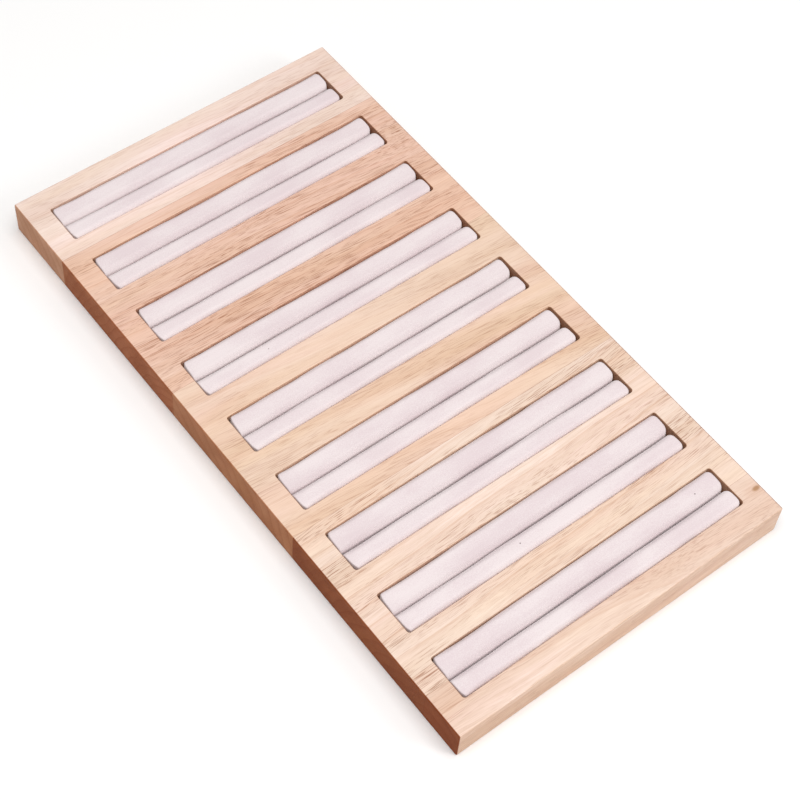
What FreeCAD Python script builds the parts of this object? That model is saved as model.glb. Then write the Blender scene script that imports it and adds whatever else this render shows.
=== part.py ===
"""Jewelry tray: a routed board of edge-glued wood staves, with two covered foam rolls in each pocket.

Frame: origin on the table under the board's centre, +X along the pockets, +Y along the board, +Z up.
"""

import FreeCAD, Part
import math
import os

import Sketcher

# Driving dimensions in millimetres: name, value, meaning.
SIZES = (
    ("pocket_length", 130.2, "routed pocket, along the grain"),
    ("pocket_width", 18.6, "routed pocket, across the grain"),
    ("pocket_depth", 11.5, "from the board's top down to the pocket's floor"),
    ("pocket_corner", 1.2, "radius that the cutter leaves in a pocket's corners"),
    ("rib_width", 11.55, "wood left between two pockets"),
    ("border_width", 10.1, "wood left round the set of pockets"),
    ("floor_thickness", 3.5, "wood left under a pocket"),
    ("edge_ease", 0.6, "rounding of the board's outer edges"),
    ("rim_ease", 0.3, "rounding of the pockets' rims"),
    ("far_stave_width", 35.0, "stave at the board's far end, cut down to fit"),
    ("near_stave_width", 18.4, "stave at the board's near end, cut down to fit"),
    ("wall_gap", 0.15, "room between a roll and the pocket's long wall"),
    ("roll_gap", 0.2, "room between the two rolls of a pocket"),
    ("crevice_offset", 0.55, "from a pocket's middle to the crevice, towards the near end"),
    ("end_gap", 0.2, "room between a roll's end and the pocket's end wall"),
    ("crest_rise", 0.4, "height of a roll's crest above the board's top"),
    ("crest_offset", 4.4, "from a roll's wall side to its crest"),
    ("crown_radius", 60.0, "curve across the top of a roll"),
    ("wall_shoulder", 1.2, "roll's rounding beside the pocket's wall"),
    ("crevice_shoulder", 2.2, "roll's rounding beside the other roll"),
    ("end_bevel", 1.2, "how far a roll's crest is drawn in at its ends"),
    ("cover_thickness", 0.6, "microfibre cover of a roll"),
    ("wrap_slack", 0.1, "room between the foam and the inside of its cover"),
)
POCKETS = 9
WHOLE_STAVES = 3

# What follows from the driving dimensions, as expressions on the sheet.
BOARD_LENGTH = (
    f"({POCKETS} * Sizes.pocket_width + {POCKETS - 1} * Sizes.rib_width + 2 * Sizes.border_width)"
)
BOARD_WIDTH = "(Sizes.pocket_length + 2 * Sizes.border_width)"
BOARD_THICKNESS = "(Sizes.floor_thickness + Sizes.pocket_depth)"
WHOLE_STAVE = f"(({BOARD_LENGTH} - Sizes.far_stave_width - Sizes.near_stave_width) / {WHOLE_STAVES})"
POCKET_PITCH = "(Sizes.pocket_width + Sizes.rib_width)"
ROLL_LENGTH = "(Sizes.pocket_length - 2 * Sizes.end_gap)"
ROLL_INSIDE = {
    "back": "(Sizes.roll_gap / 2 - Sizes.crevice_offset)",
    "front": "(Sizes.roll_gap / 2 + Sizes.crevice_offset)",
}
ROLL_OUTSIDE = "(Sizes.pocket_width / 2 - Sizes.wall_gap)"
ROLL_TOP = "(Sizes.pocket_depth + Sizes.crest_rise)"
CORNER_CUT = "(Sizes.pocket_corner - Sizes.wall_gap)"
CAVITY_LENGTH = f"({ROLL_LENGTH} - 2 * ({CORNER_CUT} + Sizes.cover_thickness))"

# Points of a sketch's edge, and the sketch's own origin.
START, END, CENTRE = range(1, 4)
ORIGIN = (-1, START)

doc = FreeCAD.newDocument("jewelry_tray")
sheet = doc.addObject("Spreadsheet::Sheet", "Sizes")
for row, (alias, value, meaning) in enumerate(SIZES, start=1):
    sheet.set(f"A{row}", alias)
    sheet.set(f"B{row}", str(value))
    sheet.set(f"C{row}", meaning)
    sheet.setAlias(f"B{row}", alias)
doc.recompute()


def size(alias):
    """A driving dimension's number, read from the sheet."""
    return float(sheet.get(alias))


def new_body(label):
    """An empty body, labelled for the piece that it becomes."""
    body = doc.addObject("PartDesign::Body", label)
    body.Label = label
    return body


def origin_feature(body, role):
    """One of the body's own origin planes or axes."""
    return next(feature for feature in body.Origin.OriginFeatures if feature.Role == role)


def new_sketch(body, name, role):
    """A sketch on one of the body's own origin planes."""
    sketch = body.newObject("Sketcher::SketchObject", f"{body.Name}_{name}")
    sketch.AttachmentSupport = [(origin_feature(body, role), "")]
    sketch.MapMode = "FlatFace"
    return sketch


def hold(sketch, kind, *values, to):
    """Adds one dimension to a sketch and ties it to the sheet."""
    index = sketch.addConstraint(Sketcher.Constraint(kind, *values))
    sketch.setExpression(f"Constraints[{index}]", to)


def hold_point(sketch, edge, point, across, up):
    """Ties both coordinates of a sketch's point to the sheet."""
    hold(sketch, "DistanceX", *ORIGIN, edge, point, 1.0, to=across)
    hold(sketch, "DistanceY", *ORIGIN, edge, point, 1.0, to=up)


def draw_polygon(sketch, corners):
    """Draws a closed outline of straight lines whose corners are pairs of expressions."""
    turn = 2 * math.pi / len(corners)
    rough = [FreeCAD.Vector(math.cos(i * turn), math.sin(i * turn)) for i in range(len(corners))]
    lines = [
        sketch.addGeometry(Part.LineSegment(first, second))
        for first, second in zip(rough, rough[1:] + rough[:1])
    ]
    for line, following, corner in zip(lines, lines[1:] + lines[:1], corners):
        sketch.addConstraint(Sketcher.Constraint("Coincident", line, END, following, START))
        hold_point(sketch, line, START, *corner)


def draw_chain(sketch, edges):
    """Draws lines and arcs that run smoothly into each other, and returns their numbers."""
    chain = [sketch.addGeometry(edge) for edge in edges]
    for first, second in zip(chain, chain[1:]):
        sketch.addConstraint(Sketcher.Constraint("Tangent", first, END, second, START))
    return chain


def arc(centre, radius, first_angle, last_angle):
    """An arc of a sketch, counterclockwise between two angles."""
    circle = Part.Circle(centre, FreeCAD.Vector(0, 0, 1), radius)
    return Part.ArcOfCircle(circle, first_angle, last_angle)


def draw_slot(sketch):
    """Draws a pocket's outline: a rectangle with the cutter's radius in its corners."""
    long, wide = size("pocket_length") / 2, size("pocket_width") / 2
    radius = size("pocket_corner")
    edges = []
    for quarter in range(4):
        across, up = (long, wide) if quarter % 2 == 0 else (wide, long)
        turn = FreeCAD.Rotation(FreeCAD.Vector(0, 0, 1), 90 * quarter)
        first = turn.multVec(FreeCAD.Vector(radius - across, -up))
        second = turn.multVec(FreeCAD.Vector(across - radius, -up))
        centre = turn.multVec(FreeCAD.Vector(across - radius, radius - up))
        angle = math.pi / 2 * (quarter - 1)
        edges += [Part.LineSegment(first, second), arc(centre, radius, angle, angle + math.pi / 2)]
    chain = draw_chain(sketch, edges)
    sketch.addConstraint(Sketcher.Constraint("Tangent", chain[-1], END, chain[0], START))

    near, right, far, left = chain[0::2]
    corners = chain[1::2]
    for line in (near, far):
        sketch.addConstraint(Sketcher.Constraint("Horizontal", line))
    for line in (right, left):
        sketch.addConstraint(Sketcher.Constraint("Vertical", line))
    for corner in corners[1:]:
        sketch.addConstraint(Sketcher.Constraint("Equal", corners[0], corner))
    hold(sketch, "Radius", corners[0], radius, to="Sizes.pocket_corner")
    hold(sketch, "DistanceX", *ORIGIN, left, START, -long, to="-Sizes.pocket_length / 2")
    hold(sketch, "DistanceX", *ORIGIN, right, START, long, to="Sizes.pocket_length / 2")
    hold(sketch, "DistanceY", *ORIGIN, near, START, -wide, to="-Sizes.pocket_width / 2")
    hold(sketch, "DistanceY", *ORIGIN, far, START, wide, to="Sizes.pocket_width / 2")


def draw_arch(sketch, side, layers, foot):
    """Draws a roll's section: flat foot, upright sides, and a crown between two round shoulders.

    The outline lies inside the roll's surface by the named layers, and its foot above the
    pocket's floor by the named foot layers. The side says which roll of its pocket it is.
    """
    inset = sum(size(layer) for layer in layers)
    inside, outside = inset, size("pocket_width") / 2 - inset
    names = ("wall_shoulder", "crown_radius", "crevice_shoulder")
    wall_radius, crown_radius, crevice_radius = (size(name) - inset for name in names)
    crown = FreeCAD.Vector(
        size("pocket_width") / 2 - size("crest_offset"), size("pocket_depth") - size("crown_radius")
    )

    def shoulder(across, radius):
        """A shoulder's centre, which its tangent to the crown sets, and that tangent's angle."""
        rise = math.sqrt((crown_radius - radius) ** 2 - (across - crown.x) ** 2)
        return FreeCAD.Vector(across, crown.y + rise), math.atan2(rise, across - crown.x)

    wall_centre, wall_angle = shoulder(outside - wall_radius, wall_radius)
    crevice_centre, crevice_angle = shoulder(inside + crevice_radius, crevice_radius)
    arcs = [
        arc(wall_centre, wall_radius, 0, wall_angle),
        arc(crown, crown_radius, wall_angle, crevice_angle),
        arc(crevice_centre, crevice_radius, crevice_angle, math.pi),
    ]
    foot_inside, foot_outside = FreeCAD.Vector(inside, 0), FreeCAD.Vector(outside, 0)
    chain = draw_chain(
        sketch,
        [
            Part.LineSegment(foot_outside, arcs[0].StartPoint),
            *arcs,
            Part.LineSegment(arcs[-1].EndPoint, foot_inside),
        ],
    )
    wall_side, crevice_side = chain[0], chain[-1]
    bottom = sketch.addGeometry(Part.LineSegment(foot_inside, foot_outside))
    sketch.addConstraint(Sketcher.Constraint("Coincident", crevice_side, END, bottom, START))
    sketch.addConstraint(Sketcher.Constraint("Coincident", bottom, END, wall_side, START))
    sketch.addConstraint(Sketcher.Constraint("Horizontal", bottom))
    sketch.addConstraint(Sketcher.Constraint("Vertical", wall_side))
    sketch.addConstraint(Sketcher.Constraint("Vertical", crevice_side))

    less = "".join(f" - Sizes.{layer}" for layer in layers)
    more = "".join(f" + Sizes.{layer}" for layer in layers)
    under = "".join(f" + Sizes.{layer}" for layer in foot)
    hold_point(sketch, bottom, START, ROLL_INSIDE[side] + more, "0" + under)
    hold(sketch, "DistanceX", *ORIGIN, bottom, END, outside, to=ROLL_OUTSIDE + less)
    crown_edge = chain[2]
    hold_point(
        sketch,
        crown_edge,
        CENTRE,
        f"{ROLL_OUTSIDE} - Sizes.crest_offset",
        f"{ROLL_TOP} - Sizes.crown_radius",
    )
    for edge, name in zip(chain[1:4], names):
        hold(sketch, "Radius", edge, size(name), to=f"Sizes.{name}{less}")


def pad(body, sketch, length, side):
    """Raises a sketch into a solid."""
    feature = body.newObject("PartDesign::Pad", f"{sketch.Name}_pad")
    feature.Profile = sketch
    feature.SideType = side
    feature.setExpression("Length", length)
    doc.recompute()
    return feature


def cut(body, sketch, side, length=None):
    """Cuts a sketch out of the body, to a length or right through, and checks that it cut."""
    before = body.Shape.Volume
    feature = body.newObject("PartDesign::Pocket", f"{sketch.Name}_cut")
    feature.Profile = sketch
    feature.SideType = side
    if length:
        feature.setExpression("Length", length)
    else:
        feature.Type = "ThroughAll"
    doc.recompute()
    if not body.Shape.Volume < before:
        raise RuntimeError(f"{feature.Name} cuts nothing")
    return feature


def within_pockets(edge):
    """Whether an edge lies inside the board's border."""
    return edge.BoundBox.XMax < size("pocket_length") / 2 + size("rim_ease") and (
        edge.BoundBox.XMin > -size("pocket_length") / 2 - size("rim_ease")
    )


def make_board():
    """The routed panel: a blank with a row of equal pockets in its top, and all its edges eased."""
    board = new_body("routed_board")
    outline = new_sketch(board, "outline", "XY_Plane")
    half_width, half_length = f"{BOARD_WIDTH} / 2", f"{BOARD_LENGTH} / 2"
    draw_polygon(
        outline,
        [
            ("-" + half_width, "-" + half_length),
            (half_width, "-" + half_length),
            (half_width, half_length),
            ("-" + half_width, half_length),
        ],
    )
    blank = pad(board, outline, BOARD_THICKNESS, "One side")
    eased = board.newObject("PartDesign::Fillet", "eased_edges")
    eased.Base = (blank, [f"Edge{number + 1}" for number in range(len(blank.Shape.Edges))])
    eased.setExpression("Radius", "Sizes.edge_ease")
    doc.recompute()

    slot = new_sketch(board, "slot", "XY_Plane")
    draw_slot(slot)
    reach = f"{POCKETS - 1} * {POCKET_PITCH}"
    slot.setExpression("AttachmentOffset.Base.y", f"-{reach} / 2")
    slot.setExpression("AttachmentOffset.Base.z", BOARD_THICKNESS)
    pocket = cut(board, slot, "One side", "Sizes.pocket_depth")
    row = board.newObject("PartDesign::LinearPattern", "pocket_row")
    row.Originals = [pocket]
    row.Direction = (origin_feature(board, "Y_Axis"), [""])
    row.setExpression("Length", reach)
    row.Occurrences = POCKETS
    board.Tip = row
    doc.recompute()

    top = row.Shape.BoundBox.ZMax
    rims = [
        f"Edge{number}"
        for number, edge in enumerate(row.Shape.Edges, start=1)
        if edge.BoundBox.ZMin > top - size("rim_ease") and within_pockets(edge)
    ]
    eased_rims = board.newObject("PartDesign::Fillet", "eased_rims")
    eased_rims.Base = (row, rims)
    eased_rims.setExpression("Radius", "Sizes.rim_ease")
    board.Tip = eased_rims
    doc.recompute()
    return board


def make_staves(board):
    """The board's staves, parted at its glue lines, from the far end to the near one."""
    far_end = f"{BOARD_LENGTH} / 2"
    first_glue = f"{far_end} - Sizes.far_stave_width"
    glue_lines = [f"{first_glue} - {number} * {WHOLE_STAVE}" for number in range(WHOLE_STAVES + 1)]
    limits = [far_end, *glue_lines, f"-{far_end}"]
    staves = []
    for number, (high, low) in enumerate(zip(limits, limits[1:]), start=1):
        slab = doc.addObject("Part::Box", f"stave_slab_{number}")
        slab.setExpression("Length", BOARD_WIDTH)
        slab.setExpression("Width", f"{high} - ({low})")
        slab.setExpression("Height", BOARD_THICKNESS)
        slab.setExpression("Placement.Base.x", f"-{BOARD_WIDTH} / 2")
        slab.setExpression("Placement.Base.y", low)
        stave = doc.addObject("Part::Common", f"board_stave_{number}")
        stave.Base = board
        stave.Tool = slab
        staves.append(stave)
    doc.recompute()
    return staves


def place_roll(body, pocket, turn):
    """Sets a roll's piece on its pocket's floor, turned so that its flat side faces the wall."""
    body.Placement = FreeCAD.Placement(
        FreeCAD.Vector(), FreeCAD.Rotation(FreeCAD.Vector(0, 0, 1), turn)
    )
    body.setExpression("Placement.Base.y", f"({(POCKETS + 1) / 2} - {pocket}) * {POCKET_PITCH}")
    body.setExpression("Placement.Base.z", "Sizes.floor_thickness")


def make_cover(label, side):
    """A roll's microfibre cover: crowned skin, folded shut at its drawn-in ends, hollow inside."""
    cover = new_body(label)
    section = new_sketch(cover, "section", "YZ_Plane")
    draw_arch(section, side, (), ())
    pad(cover, section, ROLL_LENGTH, "Symmetric")

    # Each cutting triangle's right angle lies as far outside the roll as its cut goes in.
    corners = new_sketch(cover, "corners", "XY_Plane")
    for end in ("-", ""):
        tip = f"{end}({ROLL_LENGTH} / 2 + {CORNER_CUT})"
        heel = f"{end}({ROLL_LENGTH} / 2 - 2 * {CORNER_CUT})"
        for face, way in ((ROLL_INSIDE[side], 1), (ROLL_OUTSIDE, -1)):
            outer = f"{face} - {way} * {CORNER_CUT}"
            inner = f"{face} + {2 * way} * {CORNER_CUT}"
            draw_polygon(corners, [(tip, outer), (heel, outer), (tip, inner)])
    cut(cover, corners, "Symmetric")

    bevels = new_sketch(cover, "bevels", "XZ_Plane")
    high, low = f"{ROLL_TOP} + Sizes.end_bevel", f"{ROLL_TOP} - 2 * Sizes.end_bevel"
    for end in ("-", ""):
        tip = f"{end}({ROLL_LENGTH} / 2 + Sizes.end_bevel)"
        heel = f"{end}({ROLL_LENGTH} / 2 - 2 * Sizes.end_bevel)"
        draw_polygon(bevels, [(tip, high), (heel, high), (tip, low)])
    cut(cover, bevels, "Symmetric")

    cavity = new_sketch(cover, "cavity", "YZ_Plane")
    draw_arch(cavity, side, ("cover_thickness",), ("cover_thickness",))
    cut(cover, cavity, "Symmetric", CAVITY_LENGTH)
    return cover


def make_core(label, side):
    """A roll's foam core, a strip cut square at its ends, seated on the bottom of its cover."""
    core = new_body(label)
    section = new_sketch(core, "section", "YZ_Plane")
    draw_arch(section, side, ("cover_thickness", "wrap_slack"), ("cover_thickness",))
    pad(core, section, f"{CAVITY_LENGTH} - 2 * Sizes.wrap_slack", "Symmetric")
    return core


pieces = make_staves(make_board())
for pocket in range(1, POCKETS + 1):
    for side, turn in (("back", 0), ("front", 180)):
        cover = make_cover(f"roll_{pocket}_{side}_cover", side)
        core = make_core(f"roll_{pocket}_{side}_core", side)
        for piece in (cover, core):
            place_roll(piece, pocket, turn)
        pieces += [cover, core]
doc.recompute()

for made in doc.Objects:
    if "Invalid" in made.State or "Error" in made.State:
        raise RuntimeError(f"{made.Label} failed: {made.State}")
for piece in pieces:
    if piece.Shape.isNull() or not piece.Shape.isValid() or len(piece.Shape.Solids) != 1:
        raise RuntimeError(f"{piece.Label} is not one sound solid")

os.makedirs("parts", exist_ok=True)
for piece in pieces:
    piece.Shape.exportStep(os.path.join("parts", f"{piece.Label}.step"))
    print(f"{piece.Label}: {piece.Shape.Volume:.1f} cubic mm")
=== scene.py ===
"""Dresses a packed jewelry tray: wood for the staves, padded rolls in the pockets, and a studio stage."""

import math
import random
from typing import NamedTuple

import bpy
from bpy.props import FloatProperty, FloatVectorProperty, IntProperty, PointerProperty
from mathutils import Matrix, Vector


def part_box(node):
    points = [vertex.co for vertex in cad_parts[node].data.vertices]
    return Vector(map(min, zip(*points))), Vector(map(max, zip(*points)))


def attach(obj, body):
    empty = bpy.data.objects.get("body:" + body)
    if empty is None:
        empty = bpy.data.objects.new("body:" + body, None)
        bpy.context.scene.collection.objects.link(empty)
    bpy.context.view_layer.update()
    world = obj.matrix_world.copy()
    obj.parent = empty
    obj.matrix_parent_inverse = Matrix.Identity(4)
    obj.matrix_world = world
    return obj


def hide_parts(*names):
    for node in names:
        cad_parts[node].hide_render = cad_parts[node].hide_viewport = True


bl_info = {
    "name": "Jewelry Tray Dresser",
    "version": (1, 0, 0),
    "blender": (4, 5, 0),
    "location": "View3D > Sidebar > Tray",
    "description": "Gives a routed jewelry tray its wood, its padded rolls and a studio stage",
    "category": "Object",
}

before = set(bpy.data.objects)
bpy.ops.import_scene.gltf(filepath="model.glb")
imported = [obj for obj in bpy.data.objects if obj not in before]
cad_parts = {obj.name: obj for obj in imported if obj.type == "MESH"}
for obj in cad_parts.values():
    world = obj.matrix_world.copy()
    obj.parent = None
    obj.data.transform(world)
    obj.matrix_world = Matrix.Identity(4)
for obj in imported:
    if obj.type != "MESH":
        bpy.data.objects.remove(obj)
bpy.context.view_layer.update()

MM = 0.001
PER_MM = 1000.0
STAVES = sorted(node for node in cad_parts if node.startswith("board_stave"))
ROLLS = sorted(node[: -len("_cover")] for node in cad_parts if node.endswith("_cover"))
BOARD_TOP = max(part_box(stave)[1].z for stave in STAVES)
BOARD_END = max(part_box(stave)[1].y for stave in STAVES)
BOARD_SIDE = max(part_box(stave)[1].x for stave in STAVES)

# Numbers of the colour sockets on a Mix node.
MIX_A, MIX_B, MIX_RESULT = 6, 7, 2
# A wave texture's rings lie this far apart at a scale of one.
WAVE_PERIOD = 2 * math.pi / 20
# Mesh attribute that tells how much painted shade the cloth gets beside the crevice.
CREVICE_SHADE = "crevice_shade"


def linear(colour):
    """An sRGB hex colour as linear red, green and blue."""
    shares = [int(colour[place : place + 2], 16) / 255 for place in (1, 3, 5)]
    return tuple(((s + 0.055) / 1.055) ** 2.4 if s > 0.04045 else s / 12.92 for s in shares)


def add(tree, kind, inputs=None, **settings):
    """Adds a node with its settings.

    An input is a value, a socket, or a node whose first output is meant.
    """
    node = tree.nodes.new(kind)
    for name, value in settings.items():
        setattr(node, name, value)
    for key, value in (inputs or {}).items():
        if isinstance(value, bpy.types.Node):
            value = next(socket for socket in value.outputs if socket.enabled)
        if isinstance(value, bpy.types.NodeSocket):
            tree.links.new(value, node.inputs[key])
        else:
            node.inputs[key].default_value = value
    return node


def stretched(length, width):
    """How fine a pattern is along each axis if its marks are this long along X and this wide across it."""
    return (1 / length, 1 / width, 1 / width)


# Settings that a user would change


class TrayWoodSettings(bpy.types.PropertyGroup):
    """Tones and grain of the staves."""

    pore: FloatVectorProperty(
        name="Pore Tone", description="Open pores along the grain", subtype="COLOR",
        default=linear("#9C6549"),
    )
    end_grain: FloatVectorProperty(
        name="End Grain Tone", description="What end grain keeps of a stave's tone", subtype="COLOR",
        default=linear("#B88665"),
    )
    knot: FloatVectorProperty(
        name="Knot Tone", description="Heart of a pin knot", subtype="COLOR", default=linear("#A87A50")
    )
    pore_length: FloatProperty(
        name="Pore Length", description="Length of an open pore along the grain", unit="LENGTH",
        default=9 * MM,
    )
    # Real pores are about 0.15 mm wide, which is too fine to show, so they are drawn wider.
    pore_width: FloatProperty(
        name="Pore Width", description="Width of an open pore", unit="LENGTH", default=0.25 * MM
    )
    glue_line: FloatProperty(
        name="Glue Line", description="Dark line where two staves meet", unit="LENGTH", default=0.16 * MM
    )


class TrayRollSettings(bpy.types.PropertyGroup):
    """Shape and cloth of the padded rolls."""

    wall_shoulder: FloatProperty(
        name="Wall Shoulder", description="Rounding beside the pocket's wall", unit="LENGTH",
        default=1.2 * MM,
    )
    crevice_shoulder: FloatProperty(
        name="Crevice Shoulder", description="Rounding beside the other roll", unit="LENGTH",
        default=1.9 * MM,
    )
    foot_round: FloatProperty(
        name="Foot Round", description="Rounding along the foot", unit="LENGTH", default=0.8 * MM
    )
    crest_offset: FloatProperty(
        name="Crest Offset", description="From the wall side to the crest", unit="LENGTH", default=4.4 * MM
    )
    crown_radius: FloatProperty(
        name="Crown Radius", description="Curve across the top", unit="LENGTH", default=60 * MM
    )
    end_round: FloatProperty(
        name="End Round", description="Rounding round the ends", unit="LENGTH", default=0.5 * MM
    )
    left_bow: FloatProperty(
        name="Left Bow", description="How far the wall's corner at the left end is drawn in", unit="LENGTH",
        default=0.9 * MM,
    )
    wall_bow: FloatProperty(
        name="Wall Bow", description="How far the wall's corner at the right end is drawn in",
        unit="LENGTH", default=1.4 * MM,
    )
    crevice_bow: FloatProperty(
        name="Crevice Bow", description="How far the crevice's corner at the right end is drawn in",
        unit="LENGTH", default=1.5 * MM,
    )
    skew: FloatProperty(
        name="Skew", description="Most that a roll is cut out of square", unit="LENGTH", default=0.6 * MM
    )
    squeeze: FloatProperty(
        name="Squeeze", description="How far the left ends press past their cut length", unit="LENGTH",
        default=0.15 * MM,
    )
    unevenness: FloatProperty(
        name="Unevenness", description="Swell and hollow along a roll", unit="LENGTH", default=0.16 * MM
    )
    end_play: FloatProperty(
        name="End Play", description="How much shorter than its pocket a roll may be cut", unit="LENGTH",
        default=0.7 * MM,
    )
    slack: FloatProperty(
        name="Slack", description="How much lower a cover is before it is blown up", unit="LENGTH",
        default=0.2 * MM,
    )
    swell: FloatProperty(
        name="Swell", description="Most that a cover may move when it is blown up", unit="LENGTH",
        default=0.4 * MM,
    )
    pressure: FloatProperty(name="Pressure", description="Push of the foam on its cover", default=6.0)
    cover_thickness: FloatProperty(
        name="Cover Thickness", description="Thickness of the cloth", unit="LENGTH", default=0.6 * MM
    )
    cloth: FloatVectorProperty(
        name="Cloth", description="Microfibre brushed one way", subtype="COLOR", default=linear("#E8DCDC")
    )
    cloth_shade: FloatVectorProperty(
        name="Cloth Shade", description="Microfibre brushed the other way", subtype="COLOR",
        default=linear("#DECED0"),
    )
    lint: FloatVectorProperty(
        name="Lint", description="Specks caught in the nap", subtype="COLOR", default=linear("#7A6A6C")
    )
    foam: FloatVectorProperty(
        name="Foam", description="Foam inside the covers", subtype="COLOR", default=linear("#D9D6CE")
    )
    seed: IntProperty(name="Seed", description="Picks the rolls' unevenness", default=7)


class TrayStageSettings(bpy.types.PropertyGroup):
    """Camera, floor and light."""

    aim: FloatVectorProperty(
        name="Aim", description="Point that the camera looks at", subtype="TRANSLATION",
        default=(-8.6 * MM, -21.8 * MM, BOARD_TOP),
    )
    azimuth: FloatProperty(
        name="Azimuth", description="Camera's turn round the tray", subtype="ANGLE",
        default=math.radians(-42.37),
    )
    elevation: FloatProperty(
        name="Elevation", description="Camera's height over the floor", subtype="ANGLE",
        default=math.radians(55.81),
    )
    roll: FloatProperty(
        name="Roll", description="Camera's tilt about its own axis", subtype="ANGLE",
        default=math.radians(5.54),
    )
    distance: FloatProperty(
        name="Distance", description="From the aim to the camera", unit="LENGTH", default=701.1 * MM
    )
    lens: FloatProperty(name="Lens", description="Focal length in millimetres", default=85.2)
    floor: FloatVectorProperty(
        name="Floor", description="Plain pale floor", subtype="COLOR", default=linear("#FAF9F8")
    )
    top_power: FloatProperty(
        name="Top Power", description="Soft box overhead", subtype="POWER", default=20.6
    )
    key_power: FloatProperty(
        name="Key Power", description="Soft box to one side", subtype="POWER", default=9.0
    )
    key_turn: FloatProperty(
        name="Key Turn", description="Key light's turn round the tray", subtype="ANGLE",
        default=math.radians(33),
    )
    key_height: FloatProperty(
        name="Key Height", description="Key light's height over the floor", subtype="ANGLE",
        default=math.radians(33),
    )
    sky: FloatProperty(name="Sky", description="Light from all round", default=0.22)


# Wood


class Cut(NamedTuple):
    """How a stave was sawn from its trunk, in millimetres and degrees."""

    tone: str
    beside: float
    below: float
    lean: float
    slope: float
    ring: float
    pores: float
    figure: float
    end_grain_and_shade: float
    knot: tuple | None = None


# From the far stave to the near one: its tone, where the trunk's centre lay from the middle of the stave's
# top, how far the trunk tipped out of the board and turned across it, how wide its rings are, how many
# pores are open, how strongly its streaks show, how dark its outer ends are made, partly by their end
# grain's own tone and partly as painted shade, and where a knot shows.
CUTS = (
    Cut("#F0DFD8", 60, -50, lean=0.3, slope=1.5, ring=5.0, pores=0.5, figure=0.8, end_grain_and_shade=0.55),
    Cut("#E9CABA", -55, -40, lean=-0.6, slope=2.5, ring=4.0, pores=1.2, figure=1.3, end_grain_and_shade=0.95),
    Cut("#E8D0BF", 50, -45, lean=0.8, slope=5.0, ring=6.0, pores=0.7, figure=0.6, end_grain_and_shade=0.76),
    Cut("#EDDACD", -60, -50, lean=-0.5, slope=-2.5, ring=5.0, pores=1.2, figure=1.3, end_grain_and_shade=1.36),
    Cut(
        "#EBD5C8", 4, -30, lean=2.6, slope=3.0, ring=6.5, pores=0.6, figure=1.5, end_grain_and_shade=1.45,
        knot=(73, -128),
    ),
)


# What a stave's tone is multiplied by in red, green and blue: where the grain is loose or dense, along the
# rims of growth rings, in rosy and honey patches, and as painted shade on the sides along the grain.
PALE_TINT = (1.10, 1.10, 1.10)
DEEP_TINT = (0.90, 0.82, 0.74)
RING_TINT = (0.80, 0.62, 0.50)
ROSY_TINT = (1.0, 0.94, 0.945)
HONEY_TINT = (1.0, 0.98, 0.91)
SIDE_SHADE_TINT = (0.97, 0.90, 0.83)
# In millimetres, how far apart along one trunk the staves were sawn, and how far its rings stray.
TRUNK_STEP = 310.0
WANDER = 9.0
# Painted shade on the pockets' routed ends: the light left there, and how deeply their end grain darkens.
POCKET_END_SHADE = 0.82
ROUTED_DEPTH = 0.4
# How much of their own tone open pores and glue lines put over the wood.
PORE_SHARE = 0.62
GLUE_SHARE = 0.45
# A pin knot's halo and heart: where each starts and is full, in knot sizes, and how strong it gets.
KNOT_HALO = {"From Min": 3.5, "From Max": 0.8, "To Max": 0.45}
KNOT_HEART = {"From Min": 1.1, "From Max": 0.5, "To Max": 0.8}


def tinted(tone, tint):
    """A tone times a tint, as an opaque colour."""
    return tuple(min(1.0, share * part) for share, part in zip(tone, tint)) + (1.0,)


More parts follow.
